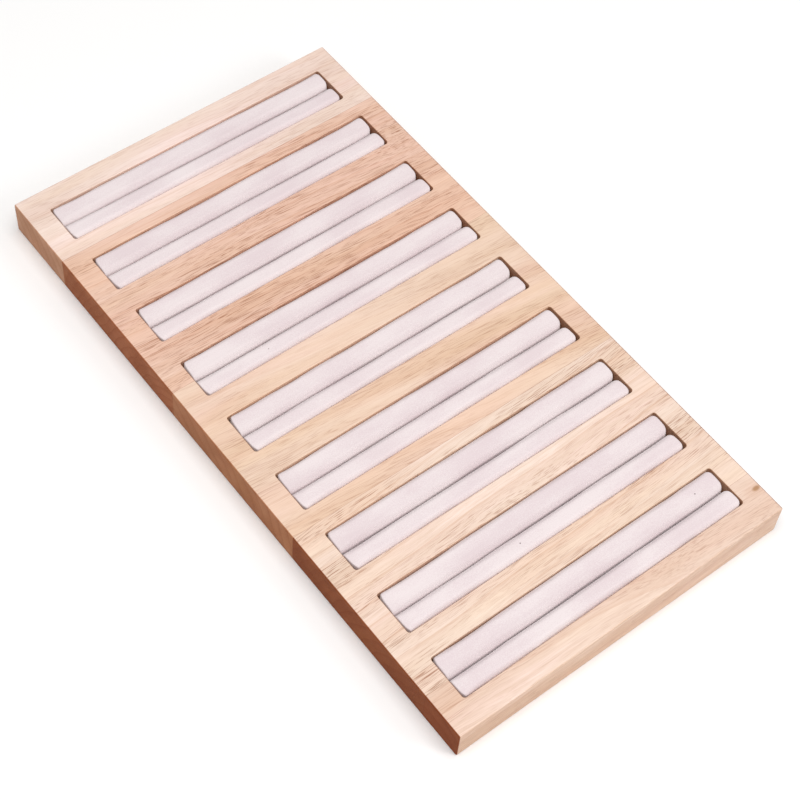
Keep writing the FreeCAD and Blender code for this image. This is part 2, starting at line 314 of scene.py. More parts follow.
def rubberwood(name, cut, middle, seed, glue_lines, settings):
    """Planed and sanded rubberwood, which shows fine dark pores along pale grain, and browner end grain.

    Growth rings are tubes round the trunk's axis, so they run along the top of a stave, close into
    arches where the axis leans out of it, and show as bands on its end.
    """
    material = bpy.data.materials.new(name)
    material.use_nodes = True
    tree = material.node_tree
    shader = tree.nodes["Principled BSDF"]
    tone = linear(cut.tone)
    pale = tinted(tone, PALE_TINT)
    deep = tinted(tone, DEEP_TINT)
    ring_tone = tinted(tone, RING_TINT)
    pore_tone = (*settings.pore, 1.0)

    # Where a point lay in the trunk, in millimetres.
    place = add(tree, "ShaderNodeTexCoord").outputs["Object"]
    pith = (middle * PER_MM + cut.beside, BOARD_TOP * PER_MM + cut.below)
    trunk = add(
        tree,
        "ShaderNodeMapping",
        {
            "Vector": place,
            "Location": (seed * TRUNK_STEP, -pith[0], -pith[1]),
            "Rotation": (0, math.radians(cut.lean), math.radians(cut.slope)),
            "Scale": (PER_MM,) * 3,
        },
    )
    drift = add(tree, "ShaderNodeVectorMath", {0: trunk, 1: stretched(120, 26)}, operation="MULTIPLY")
    wander = add(tree, "ShaderNodeTexNoise", {"Vector": drift, "Scale": 1.0, "Detail": 2.0})
    swing = add(
        tree, "ShaderNodeVectorMath", {0: wander.outputs["Color"], 1: (0.5,) * 3}, operation="SUBTRACT"
    )
    bent = add(
        tree,
        "ShaderNodeVectorMath",
        {0: swing, 1: (0, WANDER, WANDER), 2: trunk},
        operation="MULTIPLY_ADD",
    )

    # A growth ring darkens outwards to a thin line at its rim.
    rings = add(
        tree,
        "ShaderNodeTexWave",
        {"Vector": bent, "Scale": WAVE_PERIOD / cut.ring, "Distortion": 0.0},
        wave_type="RINGS",
        rings_direction="X",
        wave_profile="SAW",
    ).outputs["Fac"]
    late = add(tree, "ShaderNodeMapRange", {"Value": rings, "From Min": 0.3, "From Max": 0.97})
    late = add(tree, "ShaderNodeMath", {0: late, 1: 2.0}, operation="POWER")
    rim = add(tree, "ShaderNodeMapRange", {"Value": rings, "From Min": 0.88, "From Max": 0.96})

    # Fibres are fine streaks, patches are broad drifts of tone, and pores are dashes that crowd in patches.
    streaks = add(tree, "ShaderNodeVectorMath", {0: bent, 1: stretched(22, 1)}, operation="MULTIPLY")
    fibre = add(
        tree, "ShaderNodeTexNoise", {"Vector": streaks, "Scale": 1.0, "Detail": 5.0, "Roughness": 0.62}
    )
    patches = add(tree, "ShaderNodeVectorMath", {0: bent, 1: stretched(110, 13)}, operation="MULTIPLY")
    broad = add(tree, "ShaderNodeTexNoise", {"Vector": patches, "Scale": 1.0, "Detail": 2.0})
    blush = add(tree, "ShaderNodeSeparateColor", {0: broad.outputs["Color"]}).outputs
    broad = broad.outputs["Fac"]
    pore_size = stretched(settings.pore_length * PER_MM, settings.pore_width * PER_MM)
    dashes = add(tree, "ShaderNodeVectorMath", {0: bent, 1: pore_size}, operation="MULTIPLY")
    grains = add(tree, "ShaderNodeTexNoise", {"Vector": dashes, "Scale": 1.0, "Detail": 1.0})
    pores = add(tree, "ShaderNodeMapRange", {"Value": grains, "From Min": 0.53, "From Max": 0.66})
    crowd = add(
        tree,
        "ShaderNodeMapRange",
        {"Value": broad, "From Min": 0.40, "From Max": 0.58, "To Min": 0.2, "To Max": cut.pores},
    )
    pores = add(tree, "ShaderNodeMath", {0: pores, 1: crowd}, operation="MULTIPLY")

    shade = add(tree, "ShaderNodeMapRange", {"Value": broad, "From Min": 0.3, "From Max": 0.7})
    body = add(tree, "ShaderNodeMix", {0: shade, MIX_A: pale, MIX_B: deep}, data_type="RGBA")
    pink = add(tree, "ShaderNodeMapRange", {"Value": blush["Blue"], "From Min": 0.4, "From Max": 0.65})
    sweet = add(tree, "ShaderNodeMapRange", {"Value": blush["Green"], "From Min": 0.45, "From Max": 0.65})
    for patch, tint in ((pink, ROSY_TINT), (sweet, HONEY_TINT)):
        body = add(
            tree,
            "ShaderNodeMix",
            {0: patch, MIX_A: body, MIX_B: (*tint, 1.0)},
            data_type="RGBA",
            blend_type="MULTIPLY",
        )
    thread = add(
        tree,
        "ShaderNodeMapRange",
        {"Value": fibre, "From Min": 0.34, "From Max": 0.68, "To Max": 0.6 * cut.figure},
    )
    body = add(tree, "ShaderNodeMix", {0: thread, MIX_A: body, MIX_B: deep}, data_type="RGBA")

    # End grain shows its rings more than the faces do. Rims show only in rosy patches.
    facing = add(tree, "ShaderNodeSeparateXYZ", {0: add(tree, "ShaderNodeNewGeometry").outputs["Normal"]})
    endways = add(tree, "ShaderNodeMath", {0: facing.outputs["X"]}, operation="ABSOLUTE")
    end = add(tree, "ShaderNodeMapRange", {"Value": endways, "From Min": 0.15, "From Max": 0.55})
    depth = add(tree, "ShaderNodeMapRange", {"Value": end, "To Min": 0.2 * cut.figure, "To Max": 0.55})
    band = add(tree, "ShaderNodeMath", {0: late, 1: depth}, operation="MULTIPLY")
    line = add(tree, "ShaderNodeMath", {0: rim, 1: pink}, operation="MULTIPLY")
    line = add(tree, "ShaderNodeMath", {0: line, 1: 0.25 * cut.figure, 2: band}, operation="MULTIPLY_ADD")
    body = add(tree, "ShaderNodeMix", {0: line, MIX_A: body, MIX_B: ring_tone}, data_type="RGBA")
    open_share = add(tree, "ShaderNodeMath", {0: pores, 1: PORE_SHARE}, operation="MULTIPLY")
    body = add(tree, "ShaderNodeMix", {0: open_share, MIX_A: body, MIX_B: pore_tone}, data_type="RGBA")

    if cut.knot:
        # A pin knot runs straight through the stave, longer along the grain than across it.
        spot = (cut.knot[0] * MM, cut.knot[1] * MM, 0)
        off = add(tree, "ShaderNodeVectorMath", {0: place, 1: spot}, operation="SUBTRACT")
        off = add(tree, "ShaderNodeVectorMath", {0: off, 1: (500, 900, 0)}, operation="MULTIPLY")
        away = add(tree, "ShaderNodeVectorMath", {0: off}, operation="LENGTH").outputs["Value"]
        for reach, colour in ((KNOT_HALO, ring_tone), (KNOT_HEART, (*settings.knot, 1.0))):
            share = add(tree, "ShaderNodeMapRange", {"Value": away, **reach})
            body = add(tree, "ShaderNodeMix", {0: share, MIX_A: body, MIX_B: colour}, data_type="RGBA")

    spot = add(tree, "ShaderNodeSeparateXYZ", {0: place}).outputs
    for glue_line in glue_lines:
        seam = add(
            tree,
            "ShaderNodeMath",
            {0: spot["Y"], 1: glue_line, 2: settings.glue_line / 2},
            operation="COMPARE",
        )
        seam = add(tree, "ShaderNodeMath", {0: seam, 1: GLUE_SHARE}, operation="MULTIPLY")
        body = add(tree, "ShaderNodeMix", {0: seam, MIX_A: body, MIX_B: pore_tone}, data_type="RGBA")

    # End grain is darker than the faces. The outer sawn ends are darkened per stave, partly for their end
    # grain's own tone and partly as painted shade; the pockets' routed ends get a lighter end-grain tone
    # times a painted shade.
    routed = tuple(POCKET_END_SHADE * share**ROUTED_DEPTH for share in settings.end_grain) + (1.0,)
    sawn = tuple(share**cut.end_grain_and_shade for share in settings.end_grain) + (1.0,)
    reach = add(tree, "ShaderNodeMath", {0: spot["X"]}, operation="ABSOLUTE")
    outside = add(tree, "ShaderNodeMath", {0: reach, 1: BOARD_SIDE - 2 * MM}, operation="GREATER_THAN")
    darkened = add(tree, "ShaderNodeMix", {0: outside, MIX_A: routed, MIX_B: sawn}, data_type="RGBA")
    body = add(
        tree,
        "ShaderNodeMix",
        {0: end, MIX_A: body, MIX_B: darkened},
        data_type="RGBA",
        blend_type="MULTIPLY",
    )
    # Painted shade: sides along the grain, which face along Y, are darkened and browned in fibre streaks.
    sideways = add(tree, "ShaderNodeMath", {0: facing.outputs["Y"]}, operation="ABSOLUTE")
    side = add(tree, "ShaderNodeMapRange", {"Value": sideways, "From Min": 0.3, "From Max": 0.9})
    shade_streaks = add(
        tree,
        "ShaderNodeMapRange",
        {"Value": fibre, "From Min": 0.38, "From Max": 0.64, "To Min": 0.5, "To Max": 1.3},
    )
    side = add(tree, "ShaderNodeMath", {0: side, 1: shade_streaks}, operation="MULTIPLY")
    body = add(
        tree,
        "ShaderNodeMix",
        {0: side, MIX_A: body, MIX_B: (*SIDE_SHADE_TINT, 1.0)},
        data_type="RGBA",
        blend_type="MULTIPLY",
    )
    tree.links.new(body.outputs[MIX_RESULT], shader.inputs["Base Color"])

    rough = add(tree, "ShaderNodeMapRange", {"Value": fibre, "To Min": 0.50, "To Max": 0.66})
    rough = add(tree, "ShaderNodeMath", {0: end, 1: 0.3, 2: rough}, operation="MULTIPLY_ADD")
    tree.links.new(rough.outputs[0], shader.inputs["Roughness"])
    relief = add(tree, "ShaderNodeMath", {0: pores, 1: -1.2, 2: fibre}, operation="MULTIPLY_ADD")
    bump = add(tree, "ShaderNodeBump", {"Strength": 0.35, "Distance": 0.08 * MM, "Height": relief})
    tree.links.new(bump.outputs[0], shader.inputs["Normal"])
    shader.inputs["IOR"].default_value = 1.5
    shader.inputs["Specular IOR Level"].default_value = 0.2
    return material


# Cloth, foam and paper


# Size of the nap's tufts. Real ones of about 0.05 mm are too fine to show, so they are drawn coarser.
NAP = 0.45 * MM
LINT_SPACING = 11 * MM
FOAM_CELL = 0.7 * MM
# What is left of the cloth's tone in the painted shade beside the crevice.
CREVICE_SHADE_TINT = (0.92, 0.915, 0.915)


def microfibre(settings):
    """Brushed microfibre, whose short nap scatters light softly, shades in patches and holds lint."""
    material = bpy.data.materials.new("brushed_microfibre")
    material.use_nodes = True
    tree = material.node_tree
    shader = tree.nodes["Principled BSDF"]

    place = add(tree, "ShaderNodeTexCoord").outputs["Object"]
    nap = add(tree, "ShaderNodeTexNoise", {"Vector": place, "Scale": 1 / NAP, "Detail": 3.0})
    strokes = add(tree, "ShaderNodeVectorMath", {0: place, 1: stretched(26, 9)}, operation="MULTIPLY")
    brushed = add(tree, "ShaderNodeTexNoise", {"Vector": strokes, "Scale": PER_MM, "Detail": 3.0})
    mixed = add(tree, "ShaderNodeMath", {0: nap, 1: 0.9, 2: brushed}, operation="MULTIPLY_ADD")
    shade = add(tree, "ShaderNodeMapRange", {"Value": mixed, "From Min": 0.77, "From Max": 1.13})
    body = add(
        tree,
        "ShaderNodeMix",
        {0: shade, MIX_A: (*settings.cloth, 1.0), MIX_B: (*settings.cloth_shade, 1.0)},
        data_type="RGBA",
    )
    # Painted shade: the cloth is painted a little darker beside the crevice, where shade falls between the
    # rolls.
    crevice_shade_share = add(tree, "ShaderNodeAttribute", attribute_name=CREVICE_SHADE).outputs["Fac"]
    crevice_shade_share = add(tree, "ShaderNodeMapRange", {"Value": crevice_shade_share, "From Min": 0.2, "From Max": 0.9})
    body = add(
        tree,
        "ShaderNodeMix",
        {0: crevice_shade_share, MIX_A: body, MIX_B: (*CREVICE_SHADE_TINT, 1.0)},
        data_type="RGBA",
        blend_type="MULTIPLY",
    )
    # Some of the cells hold a speck of lint at their heart.
    cells = add(tree, "ShaderNodeTexVoronoi", {"Vector": place, "Scale": 1 / LINT_SPACING})
    near = add(
        tree,
        "ShaderNodeMapRange",
        {"Value": cells.outputs["Distance"], "From Min": 0.030, "From Max": 0.018},
    )
    picked = add(tree, "ShaderNodeSeparateColor", {0: cells.outputs["Color"]})
    chosen = add(tree, "ShaderNodeMath", {0: picked, 1: 0.72}, operation="GREATER_THAN")
    speck = add(tree, "ShaderNodeMath", {0: near, 1: chosen}, operation="MULTIPLY")
    lint = (*settings.lint, 1.0)
    body = add(tree, "ShaderNodeMix", {0: speck, MIX_A: body, MIX_B: lint}, data_type="RGBA")
    tree.links.new(body.outputs[MIX_RESULT], shader.inputs["Base Color"])

    bump = add(tree, "ShaderNodeBump", {"Strength": 0.3, "Distance": 0.06 * MM, "Height": nap})
    tree.links.new(bump.outputs[0], shader.inputs["Normal"])
    shader.inputs["Roughness"].default_value = 0.95
    shader.inputs["Specular IOR Level"].default_value = 0.15
    shader.inputs["Sheen Weight"].default_value = 0.7
    shader.inputs["Sheen Roughness"].default_value = 0.4
    return material


def cut_foam(settings):
    """Cut polyurethane foam, whose opened cells look like fine pits."""
    material = bpy.data.materials.new("cut_foam")
    material.use_nodes = True
    tree = material.node_tree
    shader = tree.nodes["Principled BSDF"]
    place = add(tree, "ShaderNodeTexCoord").outputs["Object"]
    cells = add(tree, "ShaderNodeTexVoronoi", {"Vector": place, "Scale": 1 / FOAM_CELL})
    # Painted shade: each cell is painted darker towards its middle, as at the bottom of a pit.
    pit = add(tree, "ShaderNodeMapRange", {"Value": cells.outputs["Distance"], "From Max": 0.6})
    dark = tuple(share * 0.7 for share in settings.foam) + (1.0,)
    body = add(
        tree, "ShaderNodeMix", {0: pit, MIX_A: dark, MIX_B: (*settings.foam, 1.0)}, data_type="RGBA"
    )
    tree.links.new(body.outputs[MIX_RESULT], shader.inputs["Base Color"])
    bump = add(tree, "ShaderNodeBump", {"Strength": 0.6, "Distance": 0.2 * MM, "Height": pit})
    tree.links.new(bump.outputs[0], shader.inputs["Normal"])
    shader.inputs["Roughness"].default_value = 0.95
    return material


def matte_paper(settings):
    """Uncoated backdrop paper, whose loose fibres scatter light evenly and leave almost no shine."""
    material = bpy.data.materials.new("matte_paper")
    material.use_nodes = True
    shader = material.node_tree.nodes["Principled BSDF"]
    shader.inputs["Base Color"].default_value = (*settings.floor, 1.0)
    shader.inputs["Roughness"].default_value = 0.9
    shader.inputs["Specular IOR Level"].default_value = 0.1
    return material


# Rolls


ROLL_INPUTS = (
    ("Length", "NodeSocketFloat"),
    ("Width", "NodeSocketFloat"),
    ("Height", "NodeSocketFloat"),
    ("Wall Shoulder", "NodeSocketFloat"),
    ("Crevice Shoulder", "NodeSocketFloat"),
    ("Foot Round", "NodeSocketFloat"),
    ("Crest", "NodeSocketFloat"),
    ("Crown Radius", "NodeSocketFloat"),
    ("End Round", "NodeSocketFloat"),
    ("Left Bow", "NodeSocketFloat"),
    ("Wall Bow", "NodeSocketFloat"),
    ("Crevice Bow", "NodeSocketFloat"),
    ("Skew", "NodeSocketFloat"),
    ("Unevenness", "NodeSocketFloat"),
    ("Crevice Shade", "NodeSocketFloat"),
    ("Around", "NodeSocketInt"),
    ("Along", "NodeSocketInt"),
    ("Seed", "NodeSocketFloat"),
    ("Turn", "NodeSocketFloat"),
    ("Centre", "NodeSocketVector"),
    ("Material", "NodeSocketMaterial"),
)
# Share of a roll's rows of points that lie along its straight run. The others turn round its ends.
STRAIGHT_SHARE = 0.9
# Exponent of the squared-off ellipse that an end turns through.
END_SQUARENESS = 3.2
# The corners of an end are drawn in by less and less over this length.
BOW_REACH = 8 * MM
# Points that lie closer than this, as at the closed ends, become one.
MERGE_DISTANCE = 0.02 * MM


def roll_tree():
    """A closed roll, swept along X and drawn in at its ends.

    Its section has four rounded corners and a crown.
    """
    tree = bpy.data.node_groups.new("padded_roll", "GeometryNodeTree")
    tree.interface.new_socket("Geometry", in_out="OUTPUT", socket_type="NodeSocketGeometry")
    for name, kind in ROLL_INPUTS:
        tree.interface.new_socket(name, in_out="INPUT", socket_type=kind)
    given = tree.nodes.new("NodeGroupInput").outputs

    half_width = add(tree, "ShaderNodeMath", {0: given["Width"], 1: 0.5}, operation="MULTIPLY")
    half_height = add(tree, "ShaderNodeMath", {0: given["Height"], 1: 0.5}, operation="MULTIPLY")
    left = add(tree, "ShaderNodeMath", {0: half_width, 1: -1.0}, operation="MULTIPLY")
    low = add(tree, "ShaderNodeMath", {0: half_height, 1: -1.0}, operation="MULTIPLY")
    corners = [
        add(tree, "ShaderNodeCombineXYZ", {0: across, 1: up})
        for across, up in ((left, low), (half_width, low), (half_width, half_height), (left, half_height))
    ]
    outline = add(
        tree,
        "GeometryNodeCurvePrimitiveQuadrilateral",
        {f"Point {number}": corner for number, corner in enumerate(corners, start=1)},
        mode="POINTS",
    )
    roundings = ("Foot Round", "Foot Round", "Wall Shoulder", "Crevice Shoulder")
    rounding = add(tree, "GeometryNodeIndexSwitch", data_type="FLOAT")
    while len(rounding.index_switch_items) < len(roundings):
        rounding.index_switch_items.new()
    tree.links.new(add(tree, "GeometryNodeInputIndex").outputs[0], rounding.inputs[0])
    for number, name in enumerate(roundings, start=1):
        tree.links.new(given[name], rounding.inputs[number])
    section = add(
        tree, "GeometryNodeFilletCurve", {"Curve": outline, "Radius": rounding, "Count": 12}, mode="POLY"
    )
    section = add(tree, "GeometryNodeResampleCurve", {"Curve": section, "Count": given["Around"]})

    spot = add(tree, "ShaderNodeSeparateXYZ", {0: add(tree, "GeometryNodeInputPosition")})
    away = add(tree, "ShaderNodeMath", {0: spot.outputs["X"], 1: given["Crest"]}, operation="SUBTRACT")
    squared = add(tree, "ShaderNodeMath", {0: away, 1: away}, operation="MULTIPLY")
    across_two = add(tree, "ShaderNodeMath", {0: given["Crown Radius"], 1: -2.0}, operation="MULTIPLY")
    fall = add(tree, "ShaderNodeMath", {0: squared, 1: across_two}, operation="DIVIDE")
    upper = add(
        tree, "ShaderNodeMapRange", {"Value": spot.outputs["Y"], "From Min": 0.0, "From Max": half_height}
    )
    fall = add(tree, "ShaderNodeMath", {0: fall, 1: upper}, operation="MULTIPLY")
    section = add(
        tree,
        "GeometryNodeSetPosition",
        {"Geometry": section, "Offset": add(tree, "ShaderNodeCombineXYZ", {1: fall})},
    )

    # The path's points count from -1 to 1. Its outer stretches turn through a quarter of an ellipse.
    path = add(tree, "GeometryNodeCurvePrimitiveLine", {"Start": (-1, 0, 0), "End": (1, 0, 0)})
    path = add(tree, "GeometryNodeResampleCurve", {"Curve": path, "Count": given["Along"]})
    last = add(tree, "ShaderNodeMath", {0: given["Along"], 1: 1.0}, operation="SUBTRACT")
    point = add(tree, "GeometryNodeInputIndex")
    run = add(tree, "ShaderNodeMapRange", {"Value": point, "From Max": last, "To Min": -1.0})
    side = add(tree, "ShaderNodeMath", {0: run}, operation="SIGN")
    share = add(tree, "ShaderNodeMath", {0: run}, operation="ABSOLUTE")
    straight = add(tree, "ShaderNodeMapRange", {"Value": share, "From Max": STRAIGHT_SHARE})
    angle = add(
        tree,
        "ShaderNodeMapRange",
        {"Value": share, "From Min": STRAIGHT_SHARE, "From Max": 1.0, "To Max": math.pi / 2},
    )
    power = 2 / END_SQUARENESS
    sine = add(tree, "ShaderNodeMath", {0: angle}, operation="SINE")
    cosine = add(tree, "ShaderNodeMath", {0: angle}, operation="COSINE")
    reach = add(tree, "ShaderNodeMath", {0: sine, 1: power}, operation="POWER")
    cosine = add(tree, "ShaderNodeMath", {0: cosine, 1: 0.0}, operation="MAXIMUM")
    drawn_in = add(tree, "ShaderNodeMath", {0: cosine, 1: power}, operation="POWER")
    half_length = add(tree, "ShaderNodeMath", {0: given["Length"], 1: 0.5}, operation="MULTIPLY")
    flat = add(tree, "ShaderNodeMath", {0: half_length, 1: given["End Round"]}, operation="SUBTRACT")
    flat = add(tree, "ShaderNodeMath", {0: flat, 1: straight}, operation="MULTIPLY")
    out = add(tree, "ShaderNodeMath", {0: reach, 1: given["End Round"], 2: flat}, operation="MULTIPLY_ADD")
    out = add(tree, "ShaderNodeMath", {0: out, 1: side}, operation="MULTIPLY")
    path = add(
        tree,
        "GeometryNodeSetPosition",
        {"Geometry": path, "Position": add(tree, "ShaderNodeCombineXYZ", {0: out})},
    )
    path = add(tree, "GeometryNodeSetCurveNormal", {"Curve": path, "Normal": (0, 1, 0)}, mode="FREE")
    skin = add(
        tree, "GeometryNodeCurveToMesh", {"Curve": path, "Profile Curve": section, "Scale": drawn_in}
    )
    skin = add(tree, "GeometryNodeMergeByDistance", {"Geometry": skin, "Distance": MERGE_DISTANCE})

    # Swell and hollow along the roll, which never lengthen it.
    spread = add(
        tree,
        "ShaderNodeVectorMath",
        {0: add(tree, "GeometryNodeInputPosition"), 1: stretched(30, 11)},
        operation="MULTIPLY",
    )
    swell = add(
        tree,
        "ShaderNodeTexNoise",
        {"Vector": spread, "W": given["Seed"], "Scale": PER_MM, "Detail": 2.0},
        noise_dimensions="4D",
    )
    swell = add(
        tree, "ShaderNodeMapRange", {"Value": swell, "From Min": 0.25, "From Max": 0.75, "To Min": -1.0}
    )
    swell = add(tree, "ShaderNodeMath", {0: swell, 1: given["Unevenness"]}, operation="MULTIPLY")
    swell = add(
        tree,
        "ShaderNodeVectorMath",
        {0: add(tree, "GeometryNodeInputNormal"), "Scale": swell},
        operation="SCALE",
    )
    swell = add(tree, "ShaderNodeVectorMath", {0: swell, 1: (0, 1, 1)}, operation="MULTIPLY")
    skin = add(tree, "GeometryNodeSetPosition", {"Geometry": skin, "Offset": swell})
    turn = add(tree, "ShaderNodeCombineXYZ", {2: given["Turn"]})
    skin = add(tree, "GeometryNodeTransform", {"Geometry": skin, "Rotation": turn})

    # The left end is drawn in beside the pocket's wall, and the right end beside the crevice too.
    spot = add(tree, "ShaderNodeSeparateXYZ", {0: add(tree, "GeometryNodeInputPosition")}).outputs
    out = add(tree, "ShaderNodeMath", {0: spot["Y"], 1: half_width}, operation="DIVIDE")
    facing = add(tree, "ShaderNodeMath", {0: given["Turn"]}, operation="COSINE")
    outward = add(tree, "ShaderNodeMath", {0: out, 1: facing}, operation="MULTIPLY")
    wallward = add(tree, "ShaderNodeMath", {0: outward, 1: 0.0}, operation="ADD", use_clamp=True)
    inward = add(tree, "ShaderNodeMath", {0: outward, 1: -1.0}, operation="MULTIPLY", use_clamp=True)
    inside = add(tree, "ShaderNodeMath", {0: half_length, 1: BOW_REACH}, operation="SUBTRACT")
    shift = add(tree, "ShaderNodeMath", {0: outward, 1: given["Skew"]}, operation="MULTIPLY")
    shift = add(tree, "ShaderNodeMath", {0: shift, 1: 0.5}, operation="MULTIPLY")
    # Each corner's end of the roll, its input, its edge, and how square it stays.
    corners = (
        (-1.0, "Left Bow", wallward, 3.0),
        (1.0, "Wall Bow", wallward, 4.5),
        (1.0, "Crevice Bow", inward, 3.5),
    )
    for way, bow, edge, squareness in corners:
        along = add(tree, "ShaderNodeMath", {0: spot["X"], 1: way}, operation="MULTIPLY")
        near_end = add(
            tree, "ShaderNodeMapRange", {"Value": along, "From Min": inside, "From Max": half_length}
        )
        curve = add(tree, "ShaderNodeMath", {0: edge, 1: squareness}, operation="POWER")
        curve = add(tree, "ShaderNodeMath", {0: curve, 1: near_end}, operation="MULTIPLY")
        back = add(tree, "ShaderNodeMath", {0: given[bow], 1: -way}, operation="MULTIPLY")
        shift = add(tree, "ShaderNodeMath", {0: curve, 1: back, 2: shift}, operation="MULTIPLY_ADD")
    offset = add(
        tree, "ShaderNodeVectorMath", {0: add(tree, "ShaderNodeCombineXYZ", {0: shift}), 1: given["Centre"]}
    )
    # Painted shade beside the crevice, stored on the mesh for the cloth.
    crevice_shade_share = add(tree, "ShaderNodeMath", {0: inward, 1: given["Crevice Shade"]}, operation="MULTIPLY")
    skin = add(
        tree,
        "GeometryNodeStoreNamedAttribute",
        {"Geometry": skin, "Name": CREVICE_SHADE, "Value": crevice_shade_share},
        data_type="FLOAT",
    )
    skin = add(tree, "GeometryNodeSetPosition", {"Geometry": skin, "Offset": offset})
    skin = add(tree, "GeometryNodeSetShadeSmooth", {"Geometry": skin})
    skin = add(tree, "GeometryNodeRealizeInstances", {"Geometry": skin})
    skin = add(tree, "GeometryNodeSetMaterial", {"Geometry": skin, "Material": given["Material"]})
    add(tree, "NodeGroupOutput", {0: skin})
    return tree


def grow(name, tree, sizes):
    """Evaluates a node tree with these sizes and returns the result as a plain mesh object."""
    seedling = bpy.data.objects.new(f"{name}_tree", bpy.data.meshes.new(f"{name}_tree"))
    bpy.context.scene.collection.objects.link(seedling)
    modifier = seedling.modifiers.new("tree", "NODES")
    modifier.node_group = tree
    sockets = {item.name: item.identifier for item in tree.interface.items_tree if item.in_out == "INPUT"}
    for size, value in sizes.items():
        modifier[sockets[size]] = value
    mesh = bpy.data.meshes.new_from_object(seedling.evaluated_get(bpy.context.evaluated_depsgraph_get()))
    bpy.data.objects.remove(seedling)
    mesh.name = name
    piece = bpy.data.objects.new(name, mesh)
    bpy.context.scene.collection.objects.link(piece)
    return piece


# Operators


class TRAY_OT_dress_staves(bpy.types.Operator):
    """Gives every stave of the board its own cut of wood"""

    bl_idname = "tray.dress_staves"
    bl_label = "Dress Staves"

    def execute(self, context):
        settings = context.scene.tray_wood
        for seed, (stave, cut) in enumerate(zip(STAVES, CUTS), start=1):
            low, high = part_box(stave)
            middle = (low.y + high.y) / 2
            glue_lines = [edge for edge in (low.y, high.y) if abs(edge) < BOARD_END - MM]
            wood = rubberwood(f"rubberwood_{stave}", cut, middle, seed, glue_lines, settings)
            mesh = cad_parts[stave].data
            mesh.materials.clear()
            mesh.materials.append(wood)
        return {"FINISHED"}


# The cloth solver is made for pieces of about a metre, so a cover is simulated this much larger.
ENLARGE = 40.0
FRAMES = 12


def blow_up(piece, low, high, settings):
    """Swells a cover as cloth from inside, held where the pocket and the other roll press on it."""
    mesh = piece.data
    start = [vertex.co.copy() for vertex in mesh.vertices]
    ends = piece.vertex_groups.new(name="held")
    crown = high.z - settings.crevice_shoulder
    cap = settings.end_round + settings.crevice_bow
    left = min(spot.x for spot in start) + cap
    right = max(spot.x for spot in start) - cap
    held = [
        number
        for number, spot in enumerate(start)
        if spot.z < crown
        or not left < spot.x < right
        or min(spot.y - low.y, high.y - spot.y) < settings.unevenness
    ]
    ends.add(held, 1.0, "REPLACE")
    mesh.transform(Matrix.Scale(ENLARGE, 4))

    modifier = piece.modifiers.new("cloth", "CLOTH")
    modifier.point_cache.frame_start = 1
    modifier.point_cache.frame_end = FRAMES
    cloth = modifier.settings
    cloth.quality = 4
    cloth.mass = 0.1
    cloth.air_damping = 5.0
    cloth.use_pressure = True
    cloth.uniform_pressure_force = settings.pressure
    cloth.effector_weights.gravity = 0.0
    cloth.vertex_group_mass = ends.name
    for number in range(1, FRAMES + 1):
        bpy.context.scene.frame_set(number)
    swollen = piece.evaluated_get(bpy.context.evaluated_depsgraph_get()).data
    moves = [vertex.co / ENLARGE - spot for vertex, spot in zip(swollen.vertices, start)]
    piece.modifiers.remove(modifier)
    piece.vertex_groups.clear()

    for vertex, spot, move in zip(mesh.vertices, start, moves):
        if move.length > settings.swell:
            move = move.normalized() * settings.swell
        spot = spot + move
        spot.y = min(max(spot.y, low.y), high.y)
        spot.z = min(max(spot.z, low.z), high.z)
        vertex.co = spot
    mesh.update()


def refine(piece):
    """Applies one subdivision, which rounds off the coarse mesh of the simulation."""
    modifier = piece.modifiers.new("finer", "SUBSURF")
    modifier.levels = 1
    modifier.render_levels = 1
    finer = bpy.data.meshes.new_from_object(piece.evaluated_get(bpy.context.evaluated_depsgraph_get()))
    piece.modifiers.remove(modifier)
    finer.name = piece.name
    piece.data = finer


# How finely covers and cores are meshed.
COVER_MESH = {"Around": 52, "Along": 110}
CORE_MESH = {"Around": 40, "Along": 60}
# Foam is cut with a hot wire, which rounds its edges only a little.
CORE_EDGES = {"Foot Round": 0.2 * MM, "End Round": 0.5 * MM}
# How strong the painted shade beside the crevice is, which is stronger on the back rolls.
BACK_CREVICE_SHADE = 1.0
FRONT_CREVICE_SHADE = 0.4


def is_back(roll):
    """Whether a roll lies at the far side of its pocket."""
    return roll.endswith("back")


def roll_cuts(settings):
    """Each roll with how much shorter than its pocket and how far out of square it was cut."""
    pick = random.Random(settings.seed)
    for roll in ROLLS:
        short = pick.uniform(0.1, 1.0) * settings.end_play
        skew = pick.uniform(0.2, 1.0) * settings.skew
        yield roll, short, skew


def shared_sizes(roll, skew, settings):
    """What a cover and its core have in common."""
    return {
        "Left Bow": settings.left_bow,
        "Wall Bow": settings.wall_bow,
        "Crevice Bow": settings.crevice_bow,
        "Skew": skew,
        "Turn": 0.0 if is_back(roll) else math.pi,
    }


